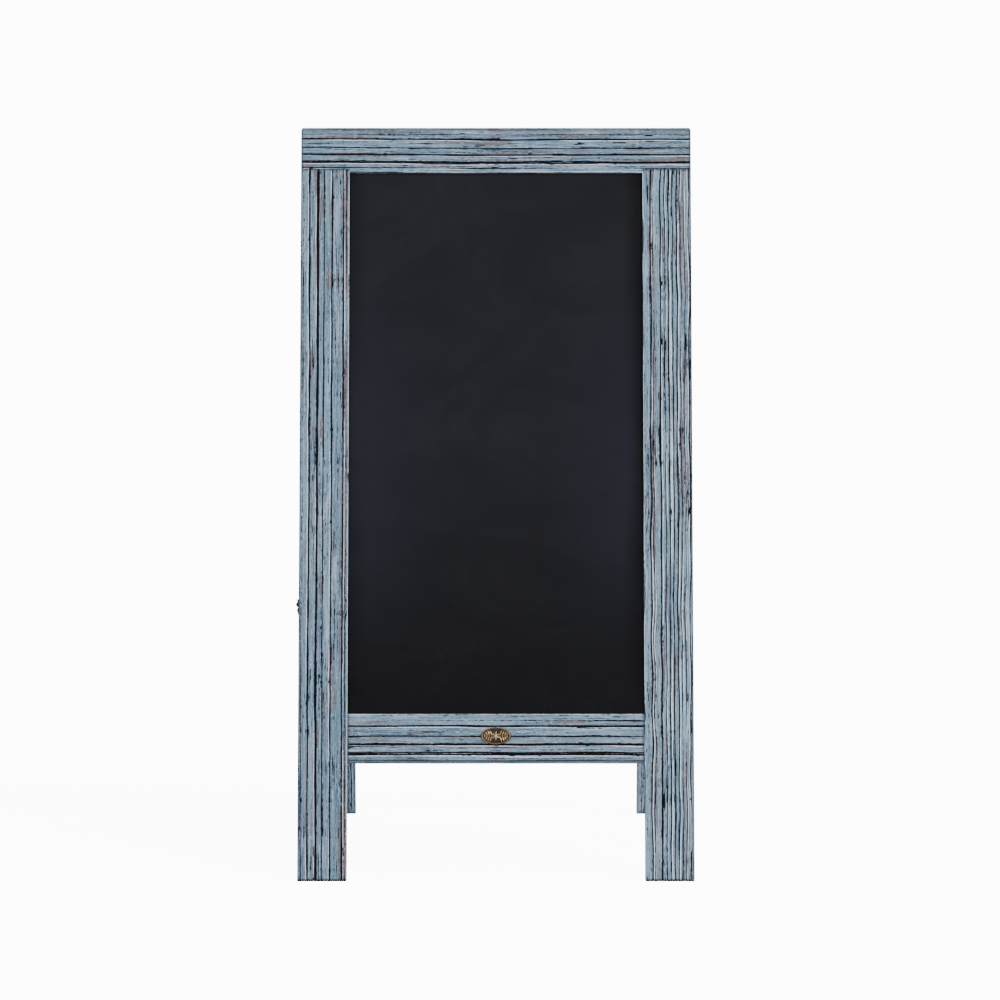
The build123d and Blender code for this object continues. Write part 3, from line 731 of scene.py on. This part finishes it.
def weathered_wood():
    """Blue-grey wash over brushed softwood: dark grain lines, brown where worn, pale on ridges."""
    shader = Shader("weathered_blue_wood")
    place = shader.attribute("grain", "Vector")
    streaks = shader.noise(shader.stretched(place, (1500, 1, 60)), 1.0, 4.0, 0.62)
    strands = shader.noise(shader.stretched(place, (420, 1, 9)), 1.0, 3.0, 0.55)
    threads = shader.noise(shader.stretched(place, (1000, 1, 13)), 1.0, 2.0, 0.5)
    blotches = shader.noise(shader.stretched(place, (70, 1, 18)), 1.0, 4.0, 0.6)
    speckle = shader.noise(shader.stretched(place, (2000, 1, 420)), 1.0, 2.0, 0.5)
    # Random wash tone, with painted light on the right stile.
    tone_and_light = shader.attribute("tone_and_light")
    fine = shader.plus(shader.spread(streaks, 0.25, 0.75, -0.55, 0.55), shader.spread(tone_and_light, -1, 1))
    level = shader.plus(fine, shader.spread(speckle, 0.3, 0.7, -0.22, 0.22))
    wash = shader.mix(shader.spread(level, 0.0, 1.0), DEEP_WASH, LIGHT_WASH)
    wash = shader.mix(shader.spread(threads, 0.53, 0.66, 0, 0.6), wash, DARK_THREAD)
    wash = shader.mix(shader.spread(threads, 0.46, 0.35, 0, 0.7), wash, LIGHT_THREAD)
    wash = shader.mix(shader.spread(blotches, 0.44, 0.68, 0, 0.8), wash, GREEN_BLOTCH)
    wash = shader.mix(shader.spread(strands, 0.54, 0.72, 0, 0.6), wash, VIOLET_STRAND)
    ragged = shader.spread(shader.plus(streaks, speckle), 0.75, 1.25, 0.3, 1.3)
    bare = shader.times(shader.attribute("bare"), ragged)
    brown = shader.mix(streaks, DARK_BROWN, WORN_BROWN)
    colour = shader.mix(shader.spread(bare, 0.1, 0.62, 0, 0.9), wash, brown)
    # Painted highlight: the pale lines beside the grooves and on the arris beside the board.
    painted_highlight_share = shader.times(shader.attribute("pale"), shader.spread(streaks, 0.3, 0.55, 0.35, 1))
    colour = shader.mix(shader.spread(painted_highlight_share, 0.1, 0.7, 0, 0.95), colour, PAINTED_HIGHLIGHT)
    pits = shader.mix(strands, COLD_PIT, WARM_PIT)
    hairline = shader.spread(streaks, 0.58, 0.68, 0, 0.85)
    colour = shader.mix(hairline, colour, HAIRLINE)
    ticks = shader.noise(shader.stretched(place, (850, 1, 150)), 1.0, 3.0, 0.55)
    colour = shader.mix(shader.spread(ticks, 0.6, 0.68, 0, 0.8), colour, DARK_TICK)
    colour = shader.mix(shader.spread(ticks, 0.4, 0.31, 0, 0.75), colour, LIGHT_TICK)
    ragged_edge = shader.noise(shader.stretched(place, (600, 1, 190)), 1.0, 3.0, 0.6)
    dark = shader.plus(shader.attribute("dark"), shader.spread(ragged_edge, 0.3, 0.7, -0.42, 0.42))
    colour = shader.mix(shader.spread(dark, 0.28, 0.56), colour, pits)
    # Painted shade: a dark outline along the outer arrises and the bar ends.
    edge_shade_share = shader.times(shader.attribute("arris"), shader.spread(strands, 0.3, 0.6, 1.0, 0.6))
    colour = shader.mix(edge_shade_share, colour, PAINTED_EDGE_SHADE)
    solid_place = shader.object_place()
    ring_phase = shader.times(shader.noise(solid_place, 26.0, 2.0, 0.5, 0.6), 150.0)
    rings = shader.spread(shader.calculate("SINE", ring_phase), -1, 1)
    pores = shader.spread(shader.voronoi(solid_place, 1100.0), 0.1, 0.34)
    end_grain = shader.mix(rings, EARLY_RING, LATE_RING)
    end_grain = shader.mix(pores, OPEN_PORE, end_grain)
    colour = shader.mix(shader.attribute("end"), colour, end_grain)
    # Painted contact shade: near black a few millimetres up from the floor.
    foot_shaded = shader.spread(shader.attribute("foot_shade"), 0, 1, 0, 0.95)
    colour = shader.mix(foot_shaded, colour, FOOT_SHADE_COLOUR)
    rough = shader.spread(streaks, 0.3, 0.7, 0.8, 0.55)
    height = shader.plus(streaks, shader.times(speckle, 0.35))
    shine = shader.spread(dark, 0.1, 0.5, 0.3, 0.04)
    shader.set(base_color=colour, roughness=rough, specular_ior_level=shine)
    shader.set(normal=shader.bump(height, 0.3 * MM, 0.8))
    return shader.material


# --- Materials of the CAD pieces ----------------------------------------------------------------


# The board's colours: coating in painted shade, lit chalk haze, a painted side reflection, chalk dust.
BARE_COATING, CHALK_HAZE = (0.0011, 0.0011, 0.0021), (0.0088, 0.009, 0.0128)
PAINTED_SHEEN, CHALK_DUST = (0.0098, 0.0108, 0.018), (0.04, 0.044, 0.052)

# How far in from each edge of the board the painted shade fades out, and where on the right it is full.
PAINTED_SHADE_LEFT, PAINTED_SHADE_RIGHT, PAINTED_SHADE_RIGHT_END = 30 * MM, 32 * MM, 6 * MM
# Painted shade: the board darkens towards the bottom over this height.
PAINTED_SHADE_LOW = 350 * MM

# The painted sheen's level above the floor, how far up and down it fades, and how far out it comes on.
PAINTED_SHEEN_HEIGHT = 530 * MM
PAINTED_SHEEN_FADE = (60 * MM, 260 * MM)
PAINTED_SHEEN_SIDES = (60 * MM, 160 * MM)


def chalkboard():
    """Satin black coating: fine orange peel, faint wipe marks, chalk haze, painted edge and bottom
    shade, painted sheen.
    """
    shader = Shader("chalkboard_black")
    place = shader.object_place()
    peel = shader.noise(place, 1800.0, 2.0)
    wipes = shader.noise(shader.stretched(place, (5, 5, 9), (0, 0.5, 0)), 1.0, 4.0, 0.6, 1.2)
    dust = shader.noise(shader.stretched(place, (90, 90, 14), (0, 0.7, 0)), 1.0, 5.0, 0.7, 0.4)
    low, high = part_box("front_writing_sheet")
    parts = shader.tree.nodes.new("ShaderNodeSeparateXYZ")
    shader.put(parts.inputs[0], place)
    across, up = parts.outputs["X"], parts.outputs["Z"]
    lit_from_left = shader.spread(across, low[0], low[0] + PAINTED_SHADE_LEFT, 0.25, 1)
    lit_from_right = shader.spread(across, high[0] - PAINTED_SHADE_RIGHT, high[0] - PAINTED_SHADE_RIGHT_END, 1, 0)
    lower = shader.spread(up, low[2], low[2] + PAINTED_SHADE_LOW, 0.1, 1)
    # Painted shade: less light towards the side edges, fullest in the right stile's shadow, and the
    # bottom.
    reach = shader.times(shader.times(lit_from_left, lit_from_right), lower)
    haze_and_shade = shader.times(reach, shader.spread(wipes, 0.25, 0.75, 0.75, 1.15))
    chalk = shader.times(shader.spread(dust, 0.5, 0.8), shader.spread(wipes, 0.45, 0.7))
    # Painted reflection: a bluish sheen painted either side of the middle of the board.
    aside = shader.spread(shader.calculate("ABSOLUTE", across), *PAINTED_SHEEN_SIDES, 0, 1)
    off_level = shader.calculate("ABSOLUTE", shader.calculate("SUBTRACT", up, PAINTED_SHEEN_HEIGHT))
    painted_sheen = shader.times(aside, shader.spread(off_level, *PAINTED_SHEEN_FADE, 1, 0))
    # From the coating in painted shade to the lit chalk haze.
    base = shader.mix(haze_and_shade, BARE_COATING, CHALK_HAZE)
    base = shader.mix(shader.times(painted_sheen, shader.spread(haze_and_shade, 0, 0.6, 0, 0.8)), base, PAINTED_SHEEN)
    base = shader.mix(shader.spread(chalk, 0, 1, 0, 0.1), base, CHALK_DUST)
    shader.set(base_color=base, roughness=shader.spread(wipes, 0.3, 0.7, 0.38, 0.5))
    shader.set(specular_ior_level=0.1)
    shader.set(normal=shader.bump(peel, 0.02 * MM, 0.3))
    return shader.material


DARK_FIBRE, LIGHT_FIBRE = (0.075, 0.04, 0.022), (0.2, 0.12, 0.068)
GLAZED_SKIN, WOOD_CHIP = (0.085, 0.048, 0.028), (0.27, 0.19, 0.12)


def hardboard():
    """Brown pressed fibre with a darker, slightly glazed skin."""
    shader = Shader("hardboard_brown")
    place = shader.object_place()
    fibres = shader.noise(shader.stretched(place, (900, 900, 900)), 1.0, 5.0, 0.7, 0.6)
    clumps = shader.noise(place, 26.0, 4.0, 0.6)
    flecks = shader.voronoi(place, 420.0)
    base = shader.mix(shader.spread(fibres, 0.3, 0.7), DARK_FIBRE, LIGHT_FIBRE)
    base = shader.mix(shader.spread(clumps, 0.38, 0.62, 0, 0.4), base, GLAZED_SKIN)
    base = shader.mix(shader.spread(flecks, 0.0, 0.22, 0.6, 0), base, WOOD_CHIP)
    shader.set(base_color=base, roughness=shader.spread(fibres, 0.3, 0.7, 0.5, 0.72))
    shader.set(normal=shader.bump(fibres, 0.12 * MM, 0.6))
    return shader.material


DARK_BEECH, PALE_BEECH = (0.5, 0.34, 0.2), (0.68, 0.5, 0.33)


def beech():
    """Pale turned dowel with short flecks along it."""
    shader = Shader("beech_dowel")
    place = shader.object_place()
    flecks = shader.noise(shader.stretched(place, (700, 700, 130)), 1.0, 3.0)
    shader.set(base_color=shader.mix(flecks, DARK_BEECH, PALE_BEECH))
    shader.set(roughness=shader.spread(flecks, 0.3, 0.7, 0.5, 0.7))
    shader.set(normal=shader.bump(flecks, 0.1 * MM, 0.5))
    return shader.material


BLACK_COAT, GREY_COAT = (0.009, 0.009, 0.011), (0.026, 0.026, 0.029)
SCUFFED_STEEL = (0.3, 0.29, 0.28)


def black_hardware():
    """Black powder coat with fine grit in it, rubbed through to grey steel in small scuffs."""
    shader = Shader("black_hardware")
    place = shader.object_place()
    grit = shader.noise(place, 2600.0, 2.0, 0.6)
    cloud = shader.noise(place, 120.0, 4.0, 0.65)
    scuffs = shader.noise(shader.stretched(place, (500, 500, 90), (0.4, 0.2, 0)), 1.0, 5.0, 0.75)
    worn = shader.times(shader.spread(scuffs, 0.66, 0.74), shader.spread(cloud, 0.48, 0.6))
    base = shader.mix(cloud, BLACK_COAT, GREY_COAT)
    base = shader.mix(shader.spread(worn, 0, 1, 0, 0.8), base, SCUFFED_STEEL)
    shader.set(base_color=base, metallic=shader.spread(worn, 0, 1, 0.0, 0.8))
    shader.set(roughness=shader.spread(grit, 0.3, 0.7, 0.34, 0.52))
    shader.set(normal=shader.bump(grit, 0.05 * MM, 0.5))
    return shader.material


DULL_ZINC, STAINED_ZINC = (0.56, 0.55, 0.52), (0.22, 0.2, 0.175)


def fastener_steel():
    """Zinc-plated steel gone dull, with turning marks and darker stains."""
    shader = Shader("steel_fasteners")
    place = shader.object_place()
    marks = shader.noise(shader.stretched(place, (300, 2600, 2600)), 1.0, 2.0)
    stains = shader.noise(place, 260.0, 4.0, 0.65)
    base = shader.mix(shader.spread(stains, 0.45, 0.7), DULL_ZINC, STAINED_ZINC)
    shader.set(base_color=base, metallic=1.0)
    shader.set(roughness=shader.spread(shader.plus(marks, stains), 0.7, 1.3, 0.3, 0.6))
    shader.set(normal=shader.bump(marks, 0.02 * MM, 0.6))
    return shader.material


HOLLOW_BRONZE, BROWN_BRONZE = (0.006, 0.004, 0.003), (0.2, 0.125, 0.055)
RUBBED_GOLD, STAINED_BRONZE = (0.8, 0.6, 0.32), (0.12, 0.075, 0.035)


def antique_bronze():
    """Cast bronze, near black in its hollows and rubbed to gold on what stands proud."""
    shader = Shader("antique_bronze")
    place = shader.object_place()
    pits = shader.noise(place, 1500.0, 3.0, 0.6)
    stains = shader.noise(place, 240.0, 4.0, 0.6)
    height = shader.attribute("height")
    rubbed = shader.plus(height, shader.spread(pits, 0.3, 0.7, -0.16, 0.16))
    base = shader.mix(shader.spread(rubbed, 0.12, 0.55), HOLLOW_BRONZE, BROWN_BRONZE)
    base = shader.mix(shader.spread(rubbed, 0.5, 0.95), base, RUBBED_GOLD)
    base = shader.mix(shader.spread(stains, 0.52, 0.72, 0, 0.55), base, STAINED_BRONZE)
    shader.set(base_color=base, metallic=shader.spread(rubbed, 0.1, 0.5, 0.45, 1.0))
    shader.set(roughness=shader.spread(rubbed, 0.2, 0.9, 0.6, 0.3))
    shader.set(normal=shader.bump(pits, 0.04 * MM, 0.5))
    return shader.material


MATERIALS = {
    "weathered_blue_wood": weathered_wood(),
    "chalkboard_black": chalkboard(),
    "hardboard_brown": hardboard(),
    "beech_dowel": beech(),
    "black_hardware": black_hardware(),
    "steel_fasteners": fastener_steel(),
    "antique_bronze": antique_bronze(),
}


# --- Badge --------------------------------------------------------------------------------------

BADGE_RINGS = 84
BADGE_SPOKES = 300
BADGE_SUNK = 0.1 * MM
BADGE_RIM = 1.5 * MM
BADGE_RIM_RISE = 0.7 * MM
BADGE_FIELD_RISE = 0.3 * MM
BADGE_FIELD_DEPTH = 0.35 * MM
BADGE_SHARP_ANGLE = 50
BADGE_MOTIF_INSET = 0.9
REEDING_RISE = 0.07 * MM
REEDING_PITCH = 1.1 * MM

PETAL_COUNT = 6
PETAL_LENGTH = 6.2 * MM
PETAL_HALF_WIDTH = 1.05 * MM
BOSS_RADIUS = 1.5 * MM
BOSS_RISE = 1.2
STEM_HALF_WIDTH = 0.4 * MM
STEM_ENDS = (3 * MM, 15.5 * MM)
STEM_RISE = 0.6
LEAF_RISE = 0.75 * MM
LEAF_PAIRS = 4
LEAF_START = 4.8 * MM
LEAF_PITCH = 3.1 * MM
LEAF_LEAN = math.radians(22)
LEAF_MARGIN = 2.6 * MM
LEAF_HALF_WIDTH = 0.85 * MM
LEAF_POINT = 0.8
MIDRIB_DEPTH = 0.45
MIDRIB_HALF_WIDTH = 0.16 * MM

# How rubbed the badge is, from 0 to 1, on its rim and its plain field, by how proud its motif and its
# reeding stand, the reeding in millimetres, and on its back.
RIM_RUBBED = 0.5
FIELD_RUBBED = 0.05
MOTIF_RUBBED = 0.85
REEDING_RUBBED = 0.8
BACK_RUBBED = 0.1

# A divisor for places where a leaf has no width.
NEXT_TO_NOTHING = 1e-9


def dome(x):
    """A round swell: 1 in the middle and 0 at 1 either way and beyond."""
    return np.clip(1 - x**2, 0, 1) ** 0.5


def leaf(x, y, root, angle, length, half_width):
    """How proud one leaf stands, from 0 to 1, with a midrib down it."""
    dx, dy = x - root[0], y - root[1]
    along = (dx * math.cos(angle) + dy * math.sin(angle)) / length
    aside = -dx * math.sin(angle) + dy * math.cos(angle)
    inside = (along > 0) & (along < 1)
    outline = np.sin(np.pi * np.clip(along, 0, 1)) ** LEAF_POINT
    half = np.where(inside, half_width * outline, NEXT_TO_NOTHING)
    rib = 1 - MIDRIB_DEPTH * np.exp(-((aside / MIDRIB_HALF_WIDTH) ** 2))
    return np.where(inside, dome(aside / half) * rib, 0)


def badge_relief(x, y, half_width, half_height):
    """Height over the badge's plain thickness, and how rubbed the metal is from 0 to 1."""
    radius = np.sqrt((x / half_width) ** 2 + (y / half_height) ** 2)
    to_rim = (1 - radius) * half_height
    bead = dome((to_rim - BADGE_RIM / 2) / (BADGE_RIM / 2))
    field = BADGE_FIELD_RISE * (1 - radius**2) - BADGE_FIELD_DEPTH
    reeding = REEDING_RISE * np.cos(2 * np.pi * x / REEDING_PITCH)
    motif = np.zeros_like(x)
    for side in (LEFT, RIGHT):
        on_stem = (side * x > STEM_ENDS[0]) & (side * x < STEM_ENDS[1])
        stem = np.exp(-((y / STEM_HALF_WIDTH) ** 2)) * on_stem
        motif = np.maximum(motif, STEM_RISE * stem)
        for index in range(LEAF_PAIRS):
            root_x = LEAF_START + LEAF_PITCH * index
            reach = half_height * math.sqrt(1 - (root_x / half_width) ** 2) - LEAF_MARGIN
            length = reach / math.cos(LEAF_LEAN)
            for up in (-1, 1):
                angle = up * (math.pi / 2 - side * LEAF_LEAN)
                one = leaf(x, y, (side * root_x, 0.0), angle, length, LEAF_HALF_WIDTH)
                motif = np.maximum(motif, one)
    for index in range(PETAL_COUNT):
        angle = 2 * math.pi * (index + 0.5) / PETAL_COUNT
        petal = leaf(x, y, (0, 0), angle, PETAL_LENGTH, PETAL_HALF_WIDTH)
        motif = np.maximum(motif, petal)
    boss = np.clip(1 - (x**2 + y**2) / BOSS_RADIUS**2, 0, 1) ** 0.5
    motif = np.maximum(motif, BOSS_RISE * boss)
    inside = smooth(to_rim / BADGE_RIM - BADGE_MOTIF_INSET)
    rim = bead * BADGE_RIM_RISE
    rise = np.where(to_rim > BADGE_RIM / 2, np.maximum(rim, field), rim)
    rise = rise + inside * np.maximum(motif * LEAF_RISE, reeding)
    inner_rubbed = FIELD_RUBBED + MOTIF_RUBBED * motif + REEDING_RUBBED * reeding / MM
    rubbed = np.maximum(bead * RIM_RUBBED * (1 - inside), inside * inner_rubbed)
    return rise, rubbed


def badge():
    """Oval cast badge with a beaded rim and a leaf spray either side of a flower."""
    low, high = folded_box("badge", FRONT)
    face = folded_box("front_bottom_rail", FRONT)[1][1]
    centre = (low + high) / 2
    half_width, half_height = (high[0] - low[0]) / 2, (high[2] - low[2]) / 2
    thickness = high[1] - face - BADGE_RIM_RISE
    spokes = np.linspace(0, 2 * np.pi, BADGE_SPOKES, endpoint=False)
    rings = np.linspace(1, 0, BADGE_RINGS, endpoint=False)
    radius, turn = np.meshgrid(rings, spokes, indexing="ij")
    x, y = half_width * radius * np.cos(turn), half_height * radius * np.sin(turn)
    rise, rubbed = badge_relief(x, y, half_width, half_height)
    back = np.full((1, BADGE_SPOKES), face - BADGE_SUNK)
    outwards = np.concatenate((back, face + thickness + rise))
    rubbed = np.concatenate((np.full_like(back, BACK_RUBBED), rubbed))
    with_back = [0, *range(BADGE_RINGS)]
    points = np.stack((centre[0] + x[with_back], outwards * FRONT, centre[2] + y[with_back]), axis=-1)
    mesh = grid_mesh("badge_relief", stand(points, FRONT))
    mesh.attributes.new("height", "FLOAT", "POINT").data.foreach_set("value", rubbed.ravel())
    finished_piece(mesh, "badge", "front_frame", "antique_bronze", BADGE_SHARP_ANGLE)


# --- Dressing the CAD pieces --------------------------------------------------------------------

EDGE_ROUND = 0.18 * MM
EDGE_ANGLE = 35
EDGE_SEGMENTS = 2
WELD_DISTANCE = 0.001 * MM


def dress_cad_nodes():
    """Gives every CAD node the material of its slot, and eases the hardware's edges."""
    for subpart in frame["record"]["subparts"]:
        piece = frame["nodes"][subpart["node"]]
        slot = subpart["material_slot"]
        piece.data.materials.clear()
        piece.data.materials.append(MATERIALS[slot])
        if slot in ("black_hardware", "steel_fasteners"):
            weld = piece.modifiers.new("weld", "WELD")
            weld.merge_threshold = WELD_DISTANCE
            ease = piece.modifiers.new("ease", "BEVEL")
            ease.width = EDGE_ROUND
            ease.segments = EDGE_SEGMENTS
            ease.limit_method = "ANGLE"
            ease.angle_limit = math.radians(EDGE_ANGLE)
            ease.harden_normals = True


# --- Stage --------------------------------------------------------------------------------------

FLOOR_HALF = 200.0
FLOOR_WHITE = 0.9
FLOOR_DULL = 0.86
AIM = Vector((0.00525, 0, 0.4582))
CAMERA_DISTANCE = 9.5
CAMERA_PITCH = math.radians(5.68)
CAMERA_LENS = 260.5
CAMERA_REACH = 1000.0
BACKDROP_GLOW = 12.0
AMBIENT = 0.6
SUN_DISTANCE = 10.0


def floor():
    """Plain pale floor, brightened to the backdrop's white."""
    mesh = bpy.data.meshes.new("floor")
    corners = [(FLOOR_HALF * x, FLOOR_HALF * y, 0) for x, y in ((-1, -1), (1, -1), (1, 1), (-1, 1))]
    mesh.from_pydata(corners, [], [range(len(corners))])
    piece = bpy.data.objects.new("floor", mesh)
    bpy.context.scene.collection.objects.link(piece)
    shader = Shader("pale_floor")
    mottle = shader.noise(shader.object_place(), 1.4, 3.0)
    dull = (FLOOR_DULL, FLOOR_DULL, FLOOR_DULL)
    base = shader.mix(mottle, dull, (FLOOR_WHITE, FLOOR_WHITE, FLOOR_WHITE))
    shader.set(base_color=base, roughness=0.9, specular_ior_level=0.0)
    seen = shader.tree.nodes.new("ShaderNodeLightPath").outputs["Is Camera Ray"]
    glow = shader.times(seen, BACKDROP_GLOW - FLOOR_WHITE)
    shader.set(emission_color=(1.0, 1.0, 1.0), emission_strength=glow)
    mesh.materials.append(shader.material)


def world():
    """Even white surroundings: bright where the camera sees them, soft as light."""
    surroundings = bpy.data.worlds.new("surroundings")
    surroundings.use_nodes = True
    tree = surroundings.node_tree
    background = tree.nodes["Background"]
    background.inputs["Color"].default_value = (1.0, 1.0, 1.0, 1.0)
    seen = tree.nodes.new("ShaderNodeLightPath").outputs["Is Camera Ray"]
    strength = tree.nodes.new("ShaderNodeMapRange")
    tree.links.new(seen, strength.inputs["Value"])
    strength.inputs["To Min"].default_value = AMBIENT
    strength.inputs["To Max"].default_value = BACKDROP_GLOW
    tree.links.new(strength.outputs["Result"], background.inputs["Strength"])
    bpy.context.scene.world = surroundings


def look_at(thing, place, target):
    """Puts a light or the camera at a place, facing a target."""
    thing.location = place
    thing.rotation_euler = (Vector(target) - Vector(place)).to_track_quat("-Z", "Y").to_euler()
    bpy.context.scene.collection.objects.link(thing)


def sun(name, strength, softness, direction):
    """Even light from one direction. softness is how wide it looks, in degrees."""
    lamp = bpy.data.lights.new(name, "SUN")
    lamp.energy = strength
    lamp.angle = math.radians(softness)
    look_at(bpy.data.objects.new(name, lamp), Vector(direction) * SUN_DISTANCE, (0, 0, 0))


def lights():
    sun("key", strength=2.9, softness=18, direction=(0.7, -0.65, 0.95))
    sun("fill", strength=0.9, softness=50, direction=(-0.7, -0.8, 0.5))
    sun("back", strength=1.1, softness=50, direction=(0.2, 0.9, 0.8))


def camera():
    data = bpy.data.cameras.new("camera")
    data.lens = CAMERA_LENS
    data.clip_end = CAMERA_REACH
    thing = bpy.data.objects.new("camera", data)
    back = Vector((0, -math.cos(CAMERA_PITCH), math.sin(CAMERA_PITCH)))
    look_at(thing, AIM + CAMERA_DISTANCE * back, AIM)
    bpy.context.scene.camera = thing


dress_cad_nodes()
for frame_side in (FRONT, REAR):
    wooden_frame(frame_side)
badge()
floor()
world()
lights()
camera()
